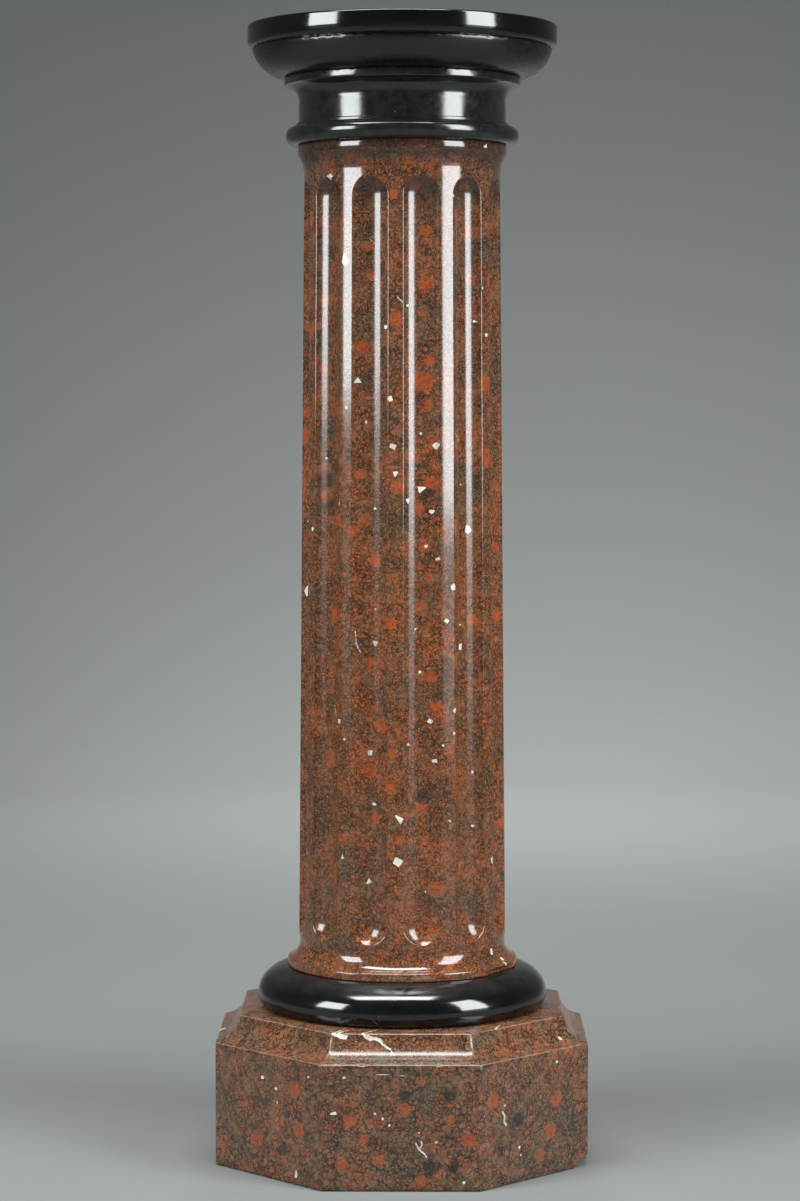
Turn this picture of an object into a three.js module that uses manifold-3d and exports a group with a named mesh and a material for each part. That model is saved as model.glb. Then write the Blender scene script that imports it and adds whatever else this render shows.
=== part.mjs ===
// A fluted pedestal column of red scagliola with a black base ring and a black capital.
// Millimetres, +Z up. The origin is the centre of the plinth's underside, and -Y is the front.

import * as THREE from 'three';
import { mergeVertices } from 'three/addons/utils/BufferGeometryUtils.js';
import Module from 'manifold-3d';

// Heights of the joints between the pieces, from the floor up.
const PLINTH_TOP = 145;
const RING_TOP = 185;
const SHAFT_TOP = 985;
const NECK_TOP = 1050;
const COLUMN_TOP = 1100;

// Plinth: an octagonal block whose upper edge is hollowed to a smaller octagonal platform.
const PLINTH_SIDES = 8;
const PLINTH_ACROSS_FLATS = 360;
const PLINTH_BLOCK_HEIGHT = 120;
const PLINTH_COVE_INSET = 23;
const PLINTH_COVE_HOLLOW = 6.2;

// Base ring: a full round, widest low down, that closes over in a long flat curve.
const RING_RADIUS = 142;
const RING_WIDEST_HEIGHT = 158;
const RING_UPPER_INSET = 35;
const RING_LOWER_INSET = 8;

// Shaft: a foot fillet, a hollow flare, a straight taper, a second flare and a top fillet.
const FOOT_RADIUS = 112.7;
const FOOT_FILLET_HEIGHT = 6;
const FOOT_ARRIS = 2.5;
const FOOT_FLARE_HEIGHT = 30;
const FOOT_FLARE_HOLLOW = 4.2;
const SHAFT_LOWER_RADIUS = 101.6;
const SHAFT_UPPER_RADIUS = 95.8;
const HEAD_RADIUS = 100.6;
const HEAD_FILLET_HEIGHT = 9;
const HEAD_FLARE_HEIGHT = 20;
const HEAD_FLARE_HOLLOW = 1.2;

// Flutes: round hollows with scooped round ends, parted by flat lands. The shaft stands turned a
// little on its ring, so that one land faces just left of the front.
const SHAFT_TURN = THREE.MathUtils.degToRad(-3.4);
const FLUTE_COUNT = 12;
const FLUTE_SPAN = THREE.MathUtils.degToRad(21.4);
const FLUTE_ARC = THREE.MathUtils.degToRad(80);
const FLUTE_LOWER_TIP = 218;
const FLUTE_UPPER_TIP = 951;

// Capital's neck: an astragal, a small step, a plain drum and a hollow flare under a fillet.
const ASTRAGAL_HEIGHT = 18;
const ASTRAGAL_RADIUS = 113.3;
const STEP_RADIUS = 103;
const STEP_HEIGHT = 3;
const NECK_RADIUS = 100.5;
const NECK_DRUM_TOP = 1023;
const NECK_FLARE_RADIUS = 112;
const NECK_FLARE_HOLLOW = 4.6;
const NECK_FILLET_RADIUS = 114.5;
const NECK_FILLET_HEIGHT = 8;
const NECK_ARRIS = 1.5;

// Capital's top: a bowl-shaped echinus under a flat round slab.
const ECHINUS_LOWER_RADIUS = 112.5;
const ECHINUS_UPPER_RADIUS = 145;
const ECHINUS_BULGE = 5.4;
const SLAB_RADIUS = 150;
const SLAB_HEIGHT = 21;
const SLAB_LOWER_ARRIS = 3.5;
const SLAB_UPPER_ARRIS = 2;

// How finely the round work is divided.
const ROUND_SIDES = 60;
const HALF_ROUND_STEPS = 8;
const RING_UPPER_STEPS = 6;
const RING_LOWER_STEPS = 3;
const CURVE_STEPS = 5;
const ARRIS_STEPS = 2;
const FLUTE_CUTTER_SIDES = 32;
const FLUTE_END_STEPS = 7;
const WELD_DISTANCE = 1e-4;

const RED_SCAGLIOLA = { color: 0x6f3a2a, roughness: 0.18, metalness: 0 };
const BLACK_MARBLE = { color: 0x17191b, roughness: 0.15, metalness: 0 };

const { Manifold, Mesh: ManifoldMesh } = await loadManifold();

async function loadManifold() {
  const wasm = await Module();
  wasm.setup();
  return wasm;
}

// Points of a circular arc from one profile point to another. A positive bulge swells away from
// the axis when the profile is read upwards, and a negative one is hollow.
function arc(from, to, bulge, steps) {
  const chord = new THREE.Vector2().subVectors(to, from);
  const normal = new THREE.Vector2(chord.y, -chord.x).normalize();
  const sweep = 4 * Math.atan2(2 * bulge, chord.length());
  const points = [];
  for (let i = 0; i <= steps; i += 1) {
    const turn = sweep * (i / steps - 0.5);
    const along = 0.5 + Math.sin(turn) / (2 * Math.sin(sweep / 2));
    const rise = bulge - (bulge * (1 - Math.cos(turn))) / (1 - Math.cos(sweep / 2));
    points.push(new THREE.Vector2().copy(from).addScaledVector(chord, along).addScaledVector(normal, rise));
  }
  return points;
}

// The bulge that makes an arc meet its two ends at a right angle to each other.
function quarterRound(size) {
  return size * (Math.SQRT2 - 1) * Math.SQRT1_2;
}

function at(radius, height) {
  return new THREE.Vector2(radius, height);
}

// Points of a quarter ellipse from its widest point, where it stands upright, to where it lies level.
function quarterEllipse(widest, level, steps) {
  const points = [];
  for (let i = 0; i <= steps; i += 1) {
    const turn = (Math.PI / 2) * (i / steps);
    const radius = level.x + (widest.x - level.x) * Math.cos(turn);
    const height = widest.y + (level.y - widest.y) * Math.sin(turn);
    points.push(at(radius, height));
  }
  return points;
}

// A solid turned about the Z axis from an outline that is read from its underside up.
function turned(outline, sides = ROUND_SIDES, firstAngle = 0) {
  const bottom = at(0, outline[0].y);
  const top = at(0, outline[outline.length - 1].y);
  const lathe = new THREE.LatheGeometry([bottom, ...outline, top], sides, firstAngle);
  return lathe.rotateX(Math.PI / 2);
}

function toManifold(geometry) {
  const bare = geometry.clone();
  bare.deleteAttribute('normal');
  bare.deleteAttribute('uv');
  const merged = mergeVertices(bare, WELD_DISTANCE);
  const corners = merged.index.array;
  const triVerts = [];
  for (let i = 0; i < corners.length; i += 3) {
    const [a, b, c] = [corners[i], corners[i + 1], corners[i + 2]];
    if (a !== b && b !== c && c !== a) {
      triVerts.push(a, b, c);
    }
  }
  const vertProperties = new Float32Array(merged.attributes.position.array);
  return new Manifold(new ManifoldMesh({ numProp: 3, vertProperties, triVerts: new Uint32Array(triVerts) }));
}

function toGeometry(solid) {
  const { numProp, vertProperties, triVerts } = solid.getMesh();
  const geometry = new THREE.BufferGeometry();
  geometry.setAttribute('position', new THREE.BufferAttribute(vertProperties, numProp));
  geometry.setIndex(new THREE.BufferAttribute(triVerts, 1));
  geometry.computeVertexNormals();
  return geometry;
}

function piece(name, geometry, finish) {
  const mesh = new THREE.Mesh(geometry, new THREE.MeshStandardMaterial(finish));
  mesh.name = name;
  return mesh;
}

function plinthGeometry() {
  const halfSide = Math.PI / PLINTH_SIDES;
  const corner = 1 / Math.cos(halfSide);
  const blockCorner = (PLINTH_ACROSS_FLATS / 2) * corner;
  const platformCorner = (PLINTH_ACROSS_FLATS / 2 - PLINTH_COVE_INSET) * corner;
  const cove = arc(
    at(blockCorner, PLINTH_BLOCK_HEIGHT),
    at(platformCorner, PLINTH_TOP),
    -PLINTH_COVE_HOLLOW,
    CURVE_STEPS,
  );
  return turned([at(blockCorner, 0), ...cove], PLINTH_SIDES, halfSide);
}

function baseRingGeometry() {
  const widest = at(RING_RADIUS, RING_WIDEST_HEIGHT);
  const upper = quarterEllipse(widest, at(RING_RADIUS - RING_UPPER_INSET, RING_TOP), RING_UPPER_STEPS);
  const lower = quarterEllipse(widest, at(RING_RADIUS - RING_LOWER_INSET, PLINTH_TOP), RING_LOWER_STEPS);
  return turned([...lower.reverse(), ...upper.slice(1)]);
}

// The shaft's plain radius at a height, before it is fluted.
function shaftRadius(height) {
  const lower = RING_TOP + FOOT_FLARE_HEIGHT;
  const upper = SHAFT_TOP - HEAD_FILLET_HEIGHT - HEAD_FLARE_HEIGHT;
  return THREE.MathUtils.mapLinear(height, lower, upper, SHAFT_LOWER_RADIUS, SHAFT_UPPER_RADIUS);
}

function shaftOutline() {
  const footFilletTop = RING_TOP + FOOT_FILLET_HEIGHT;
  const footFlareTop = RING_TOP + FOOT_FLARE_HEIGHT;
  const headFilletFoot = SHAFT_TOP - HEAD_FILLET_HEIGHT;
  const headFlareFoot = headFilletFoot - HEAD_FLARE_HEIGHT;
  const footArris = at(FOOT_RADIUS - FOOT_ARRIS, footFilletTop + FOOT_ARRIS);
  const taperFoot = at(SHAFT_LOWER_RADIUS, footFlareTop);
  const taperHead = at(SHAFT_UPPER_RADIUS, headFlareFoot);
  return [
    at(FOOT_RADIUS, RING_TOP),
    ...arc(at(FOOT_RADIUS, footFilletTop), footArris, quarterRound(FOOT_ARRIS), ARRIS_STEPS),
    ...arc(footArris, taperFoot, -FOOT_FLARE_HOLLOW, CURVE_STEPS).slice(1),
    ...arc(taperHead, at(HEAD_RADIUS, headFilletFoot), -HEAD_FLARE_HOLLOW, CURVE_STEPS),
    at(HEAD_RADIUS, SHAFT_TOP),
  ];
}

// The hollow's own radius and the distance of its centre from the column's axis, at a height.
function fluteSection(height) {
  const surface = shaftRadius(height);
  const radius = (surface * Math.sin(FLUTE_SPAN / 2)) / Math.sin(FLUTE_ARC / 2);
  const centre = surface * Math.cos(FLUTE_SPAN / 2) + radius * Math.cos(FLUTE_ARC / 2);
  return { radius, centre };
}

// One flute's hollow as a long tapered solid with ball ends, standing in front of the shaft.
function fluteCutter() {
  const halfWidthAt = (height) => shaftRadius(height) * Math.sin(FLUTE_SPAN / 2);
  const lowerEnd = FLUTE_LOWER_TIP + halfWidthAt(FLUTE_LOWER_TIP);
  const upperEnd = FLUTE_UPPER_TIP - halfWidthAt(FLUTE_UPPER_TIP);
  const length = upperEnd - lowerEnd;
  const lower = fluteSection(lowerEnd);
  const upper = fluteSection(upperEnd);
  const ballEnd = (from, to, radius) => arc(from, to, quarterRound(radius), FLUTE_END_STEPS);
  const outline = [
    ...ballEnd(at(0, -lower.radius), at(lower.radius, 0), lower.radius),
    ...ballEnd(at(upper.radius, length), at(0, length + upper.radius), upper.radius),
  ];
  const cutter = turned(outline.slice(1, -1), FLUTE_CUTTER_SIDES);
  cutter.rotateX(Math.atan2(upper.centre - lower.centre, length));
  return cutter.translate(0, -lower.centre, lowerEnd);
}

function shaftGeometry() {
  let shaft = toManifold(turned(shaftOutline()));
  const cutter = fluteCutter();
  const pitch = (2 * Math.PI) / FLUTE_COUNT;
  for (let i = 0; i < FLUTE_COUNT; i += 1) {
    const hollow = cutter.clone().rotateZ((i + 0.5) * pitch);
    shaft = shaft.subtract(toManifold(hollow));
  }
  return toGeometry(shaft).rotateZ(SHAFT_TURN);
}

function capitalNeckGeometry() {
  const astragalTop = SHAFT_TOP + ASTRAGAL_HEIGHT;
  const astragalEdge = ASTRAGAL_HEIGHT / 2;
  const astragalFlat = ASTRAGAL_RADIUS - astragalEdge;
  const stepTop = astragalTop + STEP_HEIGHT;
  const filletFoot = NECK_TOP - NECK_FILLET_HEIGHT;
  const drumTop = at(NECK_RADIUS, NECK_DRUM_TOP);
  return turned([
    ...arc(at(astragalFlat, SHAFT_TOP), at(astragalFlat, astragalTop), astragalEdge, HALF_ROUND_STEPS),
    at(STEP_RADIUS, astragalTop),
    at(STEP_RADIUS, stepTop),
    at(NECK_RADIUS, stepTop),
    ...arc(drumTop, at(NECK_FLARE_RADIUS, filletFoot), -NECK_FLARE_HOLLOW, CURVE_STEPS),
    at(NECK_FILLET_RADIUS, filletFoot + NECK_ARRIS),
    at(NECK_FILLET_RADIUS, NECK_TOP - NECK_ARRIS),
    at(NECK_FILLET_RADIUS - NECK_ARRIS, NECK_TOP),
  ]);
}

function capitalTopGeometry() {
  const slabFoot = COLUMN_TOP - SLAB_HEIGHT;
  const echinusFoot = at(ECHINUS_LOWER_RADIUS, NECK_TOP);
  const slabUpperEdge = at(SLAB_RADIUS, COLUMN_TOP - SLAB_UPPER_ARRIS);
  const slabTopEdge = at(SLAB_RADIUS - SLAB_UPPER_ARRIS, COLUMN_TOP);
  return turned([
    ...arc(echinusFoot, at(ECHINUS_UPPER_RADIUS, slabFoot), ECHINUS_BULGE, CURVE_STEPS),
    at(SLAB_RADIUS - SLAB_LOWER_ARRIS, slabFoot),
    at(SLAB_RADIUS, slabFoot + SLAB_LOWER_ARRIS),
    ...arc(slabUpperEdge, slabTopEdge, quarterRound(SLAB_UPPER_ARRIS), ARRIS_STEPS),
  ]);
}

const column = new THREE.Group();
column.add(
  piece('plinth', plinthGeometry(), RED_SCAGLIOLA),
  piece('base_ring', baseRingGeometry(), BLACK_MARBLE),
  piece('shaft', shaftGeometry(), RED_SCAGLIOLA),
  piece('capital_neck', capitalNeckGeometry(), BLACK_MARBLE),
  piece('capital_top', capitalTopGeometry(), BLACK_MARBLE),
);

export default column;
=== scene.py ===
"""A fluted pedestal column of red scagliola with a black base ring and a black capital, on studio paper."""

import math
import random

import bmesh
import bpy
from mathutils import Matrix, Vector, kdtree, noise


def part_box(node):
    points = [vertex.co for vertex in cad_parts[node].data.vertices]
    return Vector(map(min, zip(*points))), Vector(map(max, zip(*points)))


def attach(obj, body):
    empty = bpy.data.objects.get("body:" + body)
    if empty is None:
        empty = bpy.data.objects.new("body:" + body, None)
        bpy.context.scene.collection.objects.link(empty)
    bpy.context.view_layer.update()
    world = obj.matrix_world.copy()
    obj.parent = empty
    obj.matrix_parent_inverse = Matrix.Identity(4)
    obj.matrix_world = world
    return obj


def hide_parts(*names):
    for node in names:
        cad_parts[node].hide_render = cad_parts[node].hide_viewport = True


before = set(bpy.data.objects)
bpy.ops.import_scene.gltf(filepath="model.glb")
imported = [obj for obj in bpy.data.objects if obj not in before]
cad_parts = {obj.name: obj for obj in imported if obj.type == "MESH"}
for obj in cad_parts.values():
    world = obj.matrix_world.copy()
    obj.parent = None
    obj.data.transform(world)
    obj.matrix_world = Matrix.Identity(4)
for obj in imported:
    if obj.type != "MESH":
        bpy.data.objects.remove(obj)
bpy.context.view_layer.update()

MM = 0.001

# Heights and outer sizes, from the frame.
_, plinth_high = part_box("plinth")
ring_low, ring_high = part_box("base_ring")
shaft_low, shaft_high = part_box("shaft")
neck_low, neck_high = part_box("capital_neck")
top_low, top_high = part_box("capital_top")

# Plinth: an octagonal block whose upper edge is hollowed to a smaller octagonal platform.
PLINTH_SIDES = 8
PLINTH_APOTHEM = plinth_high.x
PLINTH_BLOCK_HEIGHT = 120 * MM
PLINTH_COVE_INSET = 23 * MM
PLINTH_COVE_HOLLOW = 6.2 * MM
PLINTH_ARRIS = 1.8 * MM
PLINTH_GRID = 4 * MM

# Shaft: foot fillet, hollow flare, straight taper, second flare and top fillet.
SHAFT_TURN = math.radians(-3.4)
FOOT_RADIUS = 112.7 * MM
FOOT_FILLET_HEIGHT = 6 * MM
FOOT_FILLET_COURSES = 4
FOOT_ARRIS = 2.5 * MM
FOOT_LOWER_ARRIS = 1 * MM
FOOT_FLARE_HEIGHT = 30 * MM
FOOT_FLARE_HOLLOW = 4.2 * MM
SHAFT_LOWER_RADIUS = 101.6 * MM
SHAFT_UPPER_RADIUS = 95.3 * MM
HEAD_RADIUS = 101.3 * MM
HEAD_FILLET_HEIGHT = 9 * MM
HEAD_FLARE_HEIGHT = 20 * MM
HEAD_FLARE_HOLLOW = 1.5 * MM

# Flutes: round hollows with scooped ends, parted by flat lands.
FLUTE_COUNT = 12
FLUTE_SPAN = math.radians(21.4)
FLUTE_ARC = math.radians(80)
FLUTE_LOWER_TIP = 218 * MM
FLUTE_UPPER_TIP = 951 * MM
FLUTE_ARRIS = 0.7 * MM
LAND_MARGIN = 1.4 * MM
FLUTE_STEPS = 8
FLUTE_END_STEPS = 24
FLUTE_RUN_CUTS = 115
FLUTE_ARRIS_STEPS = 2
LAND_CUTS = 2

# Base ring: a full round, widest low down.
RING_RADIUS = ring_high.x
RING_WIDEST = 158 * MM
RING_UPPER_INSET = 35 * MM
RING_LOWER_INSET = 8 * MM

# Capital: astragal, step, drum, hollow flare and fillet, then the bowl-shaped echinus and its slab.
ASTRAGAL_RADIUS = 113.3 * MM
ASTRAGAL_HEIGHT = 18 * MM
STEP_RADIUS = 103 * MM
STEP_HEIGHT = 3 * MM
NECK_RADIUS = 100.5 * MM
NECK_DRUM_TOP = 1023 * MM
NECK_FLARE_RADIUS = 112 * MM
NECK_FLARE_HOLLOW = 4.6 * MM
NECK_FILLET_RADIUS = neck_high.x
NECK_FILLET_HEIGHT = 8 * MM
NECK_FILLET_ARRIS = 1.4 * MM
ECHINUS_LOWER_RADIUS = 112.5 * MM
ECHINUS_UPPER_RADIUS = 145 * MM
ECHINUS_BULGE = 6.9 * MM
ECHINUS_SHOULDER = 3 * MM
ECHINUS_SHOULDER_INSET = 2 * MM
ECHINUS_STEPS = 24
SLAB_RADIUS = top_high.x
SLAB_HEIGHT = 21 * MM
SLAB_LOWER_ARRIS = 3.5 * MM
SLAB_LOWER_BULGE = 0.3 * MM
SLAB_UPPER_ARRIS = 2 * MM
TURNED_ARRIS = 0.6 * MM

ROUND_STEPS = 256
CAPITAL_STEPS = 384
CURVE_STEPS = 14
ARRIS_STEPS = 3
SHARP_ANGLE = math.radians(24)
TURNED_SHARP_ANGLE = math.radians(50)
WELD = 0.01 * MM

# Marks in the stone are kept on the mesh as distances from their edges, in millimetres, up to this far.
FAR = 6

# White chips in the shaft: height in mm, bearing from the front in degrees, half width and half height in mm.
SHAFT_WHITE = [
    (872, -34.2, 2.9, 6.6), (951, -45.8, 4.1, 2.8), (892, -71.4, 2.7, 1.9), (828, 3.4, 1.5, 1.5),
    (808, -9.2, 2.1, 2.1), (846, 53.4, 1.9, 1.1), (801, 56.6, 2.6, 2.1), (814, 48.9, 1.4, 1.9),
    (932, 31.4, 2.0, 1.7), (980, 52.3, 3.1, 2.8), (757, -26.6, 3.8, 3.0), (740, -6.4, 2.7, 3.0),
    (718, -22.0, 1.3, 1.9), (732, -32.8, 1.6, 1.9), (707, 11.8, 1.7, 1.7), (696, 20.3, 3.0, 3.4),
    (695, -4.9, 3.6, 2.7), (669, -3.5, 2.3, 3.8), (654, 11.3, 3.3, 4.9), (644, 3.6, 2.1, 2.8),
    (633, 18.0, 3.0, 1.9), (615, 44.4, 3.7, 4.4), (716, 64.5, 4.0, 2.2), (683, -52.9, 1.7, 1.0),
    (651, -68.9, 3.7, 2.3), (640, -37.7, 1.4, 2.8), (636, -16.2, 1.9, 1.8), (615, -61.4, 2.4, 1.8),
    (762, 71.1, 3.3, 1.1), (658, 38.8, 1.3, 1.0), (553, -84, 8.0, 4.6), (600, 14.7, 1.9, 1.8),
    (588, 20.9, 2.5, 1.5), (561, 30.3, 3.7, 3.2), (540, -15.9, 1.3, 1.2), (529, 25.6, 3.8, 1.0),
    (521, 8.1, 1.0, 1.9), (524, 37.7, 1.6, 1.2), (508, -15.9, 4.3, 2.8), (503, 37.7, 2.9, 3.8),
    (480, 10.9, 1.7, 1.7), (432, -36.9, 1.8, 2.4), (426, -40.5, 1.5, 1.1), (415, -33.2, 1.5, 1.2),
    (402, -19.3, 3.0, 3.2), (433, 17.0, 3.0, 2.6), (411, 3.8, 2.4, 1.7), (421, 30.3, 2.5, 2.4),
    (410, 23.3, 1.9, 1.4), (395, 19.2, 2.6, 1.9), (443, 30.9, 1.1, 3.8), (340, -0.8, 4.6, 4.2),
    (299, -2.1, 4.3, 4.4), (301, -34.2, 2.6, 2.4), (278, -19.6, 3.5, 2.0), (337, 27.5, 1.6, 1.9),
    (381, 46.9, 1.8, 1.2), (326, 64.4, 3.3, 4.8), (318, 62.9, 2.7, 1.9), (294, 60.4, 2.9, 3.8),
    (285, 66.5, 2.4, 2.8), (329, 46.7, 2.1, 1.4), (353, -16.4, 2.5, 1.4), (269, 14.1, 1.1, 1.0),
    (205, 59.1, 2.8, 3.8), (196, 66.0, 2.6, 1.8), (192, 64.0, 2.0, 2.4),
]

# Thin white veins in the shaft, as runs of (height, bearing).
SHAFT_VEINS = [
    [(446, -44.2), (441, -43.8), (436, -42.0)],
    [(519, -27.4), (506, -26.9), (498, -24.7)],
    [(709, 32.6), (703, 35.0), (699, 38.3)],
    [(892, -20.4), (886, -16.9)],
    [(836, -2.2), (831, 0.6)],
]

# Round red clasts in the shaft: height, bearing and half width.
SHAFT_RED = [
    (944, -12.6, 6.7), (913, -67.2, 9.3), (848, -70.9, 10.2), (834, -54.4, 6.5), (851, -40.8, 5.5),
    (857, -17.4, 4.9), (884, -22.0, 5.9), (933, -5.0, 5.7), (816, -3.1, 7.6), (849, 14.8, 7.8),
    (824, 12.9, 6.7), (899, 14.8, 5.8), (897, 47.5, 8.2), (852, 62.8, 8.8), (806, -66.3, 10.2),
    (942, 8.2, 5.8), (965, 3.2, 5.7), (972, -29.6, 6.2), (789, -23.8, 6.9), (770, -70.1, 8.8),
    (769, -53.3, 7.6), (777, 16.7, 5.8), (756, 12.8, 10.6), (734, 14.7, 7.8), (710, -2.2, 5.7),
    (715, -20.2, 5.9), (755, 56.3, 9.3), (683, 57.7, 9.8), (660, 18.5, 6.8), (655, -2.2, 7.6),
    (668, -25.2, 6.0), (642, -20.1, 5.9), (625, -39.5, 6.6), (625, -22.1, 7.9), (636, 10.8, 5.8),
    (672, -53.6, 7.7), (648, -51.8, 8.7), (728, -41.1, 6.7), (639, 65.8, 8.8), (616, 71.0, 8.8),
    (615, -29.2, 6.1), (586, -16.0, 6.8), (581, 11.9, 3.8), (570, 15.9, 4.8), (540, 12.2, 7.7),
    (528, -6.3, 6.7), (533, -44.3, 8.0), (548, -1.6, 3.8), (489, -19.2, 5.8), (475, 17.5, 5.8),
    (528, 46.4, 7.0), (482, 65.5, 8.8), (600, 13.8, 6.7), (447, 20.2, 5.4), (429, -12.2, 7.7),
    (393, -47.8, 9.4), (385, -19.3, 7.8), (403, -4.9, 5.7), (350, 11.5, 4.8), (339, -14.9, 5.8),
    (320, -34.1, 6.3), (320, -1.2, 5.7), (271, 19.9, 8.8), (370, -5.7, 5.7),
]

# Blue-black patches in the shaft: height, bearing and half width.
SHAFT_DARK = [
    (677, -3.5, 4.8), (678, 15.6, 4.8), (740, 11.4, 7.7), (647, 17.5, 7.8), (662, -53.5, 8.9),
    (637, -48.8, 9.6), (675, -44.1, 6.8), (360, 13.6, 7.7), (318, -9.4, 5.8), (818, -66.4, 8.3),
    (904, -18.4, 7.8), (861, -13.7, 5.8),
]

# Marks in the plinth: bearing of the face, distance along it, height, half width and half height.
PLINTH_WHITE = [
    (45, -42, 77, 1.6, 1.2), (45, 49, 126, 2.1, 1.5), (45, 30, 108, 2.1, 1.5),
    (0, 59, 9, 1.5, 1.5), (0, 33, 47, 1.7, 1.3), (0, 17, 56, 1.2, 1.2), (45, -22, 34, 2.3, 1.7),
    (45, -20, 26, 1.8, 1.3), (-45, 40, 11, 1.3, 4.7), (-45, -7, 96, 2.6, 1.9), (-45, 12, 88, 1.9, 1.4),
    (-45, 14, 75, 1.9, 1.4), (-45, 57, 106, 2.6, 1.4), (0, -53, 108, 1.9, 1.2), (0, -63, 74, 3.6, 1.4),
    (0, -24, 74, 1.3, 1.3), (0, -17, 69, 1.3, 1.3), (0, -11, 63, 1.3, 1.3), (0, -54, 141, 1.3, 1.3),
    (0, -42, 137, 2.0, 0.9), (45, -29, 145, 1.7, 1.2),
]
PLINTH_RED = [
    (-45, 37, 91, 8.9), (0, -55, 26, 7.4), (0, -47, 66, 6.5), (-45, -15, 35, 8.9), (45, 29, 73, 8.9),
    (45, 22, 43, 8.9), (0, 19, 10, 6.5), (45, -58, 84, 7.8), (0, -5, 103, 5.6), (0, 19, 104, 5.6),
    (0, 3, 78, 6.5), (0, 63, 49, 7.4), (0, -21, 30, 6.5), (-45, 44, 54, 7.8), (45, 6, 22, 7.8),
    (0, 45, 68, 5.6), (0, -35, 49, 5.6),
]
PLINTH_DARK = [
    (0, 4, 91, 5.6), (0, 44, 90, 5.6), (0, 28, 23, 7.4), (0, 49, 24, 6.5), (-45, 23, 31, 7.8),
    (45, -23, 60, 7.8),
]
PLINTH_VEINS = [
    (0, 1.2, [(-64, 144.5), (-60, 143), (-57, 141.5), (-52, 140.5)]),
    (0, 0.6, [(-60, 145.5), (-55, 143), (-50, 142.5)]),
    (0, 0.9, [(-36, 145), (-33, 141), (-29, 139), (-24, 141), (-19, 139.5)]),
    (0, 1.1, [(-31, 143), (-26, 140.5), (-20, 138.5), (-17, 135)]),
    (0, 0.8, [(-19, 139), (-15, 133.5), (-10, 131)]),
    (0, 0.45, [(-10, 131), (-8, 127.5), (-5, 126)]),
    (45, 1.0, [(-45, 71), (-42, 67), (-43, 62), (-40, 58)]),
    (0, 0.8, [(14, 46), (17, 40), (22, 36), (24, 33)]),
    (0, 0.6, [(17, 40), (20, 45), (19, 48)]),
    (0, 0.5, [(-23, 111), (3, 110)]),
]

# Camera, set to the photo's frame.
FRAME_HEIGHT = 1201
CAMERA_FOCAL_PIXELS = 3213
CAMERA_DISTANCE = 3.143
CAMERA_HEIGHT = 0.741
CAMERA_PITCH = math.radians(3.61)
CAMERA_TURN = math.radians(0.4)
CAMERA_PAN = math.radians(0.04)
CAMERA_CLIP = 50
SENSOR = 36

# Marks on the sides that the photo doesn't show: how many, and how large in millimetres.
SHAFT_SEED = 11
PLINTH_SEED = 23
SEEN_BEARING = 76
HIDDEN_WHITE = 60
HIDDEN_RED = 56
HIDDEN_DARK = 12
HIDDEN_WHITE_HALF = (2.4, 4.2)
HIDDEN_RED_HALF = (5, 9)
HIDDEN_STRETCH = (0.6, 1.4)
PLINTH_HIDDEN_FACES = (90, 135, 180, 225, 270)

# Shape of the marks, and the finer mesh under them.
VEIN_STEP = 0.8
VEIN_HALF = 0.42
REFINE_MARGIN = 1.6 * MM
REFINE_LIMIT = 25 * MM * MM
SHARD_SIDES = (3, 4, 4, 5)
SHARD_SKEW = 0.12
SHARD_CUT = {3: (0.48, 0.6), 4: (0.65, 0.88), 5: (0.75, 0.95)}
FINE_COURSE = 4 * MM
FINE_LIMIT = -15 * MM
PLINTH_COVE_STEPS = 10

# Painted shade darkens the upper ends of the flutes, this far down and where they are this deep, and
# over this share of the flare under the top fillet.
HEAD_PAINTED_SHADE = 36 * MM
PAINTED_SHADE_DEPTHS = (0.1 * MM, 1.0 * MM)
PAINTED_SHADE_FLARE = (0.8, 0.2)

# Nicks along arrises: their size, a seed, and the noise at which they start and are deepest.
PLINTH_NICKS = (11 * MM, 2, 0.56, 0.86)
PLINTH_NICK_DEPTH = 1.5 * MM
PLINTH_FINE_NICKS = (3.5 * MM, 6, 0.6, 0.9)
PLINTH_FINE_NICK_DEPTH = 0.5 * MM
PLINTH_NICK_RISE = 0.4
PLINTH_NICK_FALL = 0.6
FOOT_NICKS = (9 * MM, 3, 0.62, 0.85)
FOOT_NICK_DEPTH = 1.6 * MM
FILLET_NICKS = (5 * MM, 1, 0.5, 0.85)
FILLET_NICK_DEPTH = 0.5 * MM
FILLET_NICK_DROP = 0.25 * MM
SHOULDER_NICKS = (4 * MM, 3, 0.5, 0.8)
SHOULDER_NICK_DEPTH = 0.8 * MM
SHOULDER_WORN = 0.5
RIM_NICKS = (8 * MM, 9, 0.78, 0.95)
RIM_NICK_DEPTH = 0.8 * MM
RIM_NICK_DROP = 0.5 * MM

# What varies over the stone: the least, what noise adds to it, the noise's size and its seed.
PLINTH_WORN = (-2.4, 3.4, 16 * MM, 4)
FILLET_WORN = (-1.2, 5.0, 6 * MM, 2)

# The plinth's upright arrises are less rubbed than the level ones.
UPRIGHT_WORN = 1.6
UPRIGHT_TOP = (8 * MM, 2 * MM)

# The broken corner of the plinth: its bearing, and the face and unevenness of the break.
CORNER_BEARING = 67.5
CORNER_FACE_BEARING = 72
CORNER_FACE_OUT = 0.8
CORNER_FACE_DOWN = 0.6
CORNER_DEPTH = 8 * MM
CORNER_UNEVEN = (-0.88 * MM, 2.2 * MM, 6 * MM, 7)
CORNER_WORN = 1.2

# The broken foot of the shaft: the bearings where it starts and ends, its height and its depth.
FOOT_BREAK_START = (47, 52)
FOOT_BREAK_END = (68, 76)
FOOT_BREAK_ROOF = (3.2 * MM, 3.4 * MM, 7 * MM, 5)
FOOT_BREAK_LIP = (1.2 * MM, 0.6 * MM)
FOOT_BREAK_DEPTH = (3.6 * MM, 2.4 * MM, 5 * MM, 8)

# Painted reflections, as pale patches on the foot's fillet: height, bearing, half width and half height.
FOOT_PAINTED_SHEEN = [(189.3, -2.0, 6.5, 1.7), (189.3, 10.7, 7.5, 1.7)]

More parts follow.
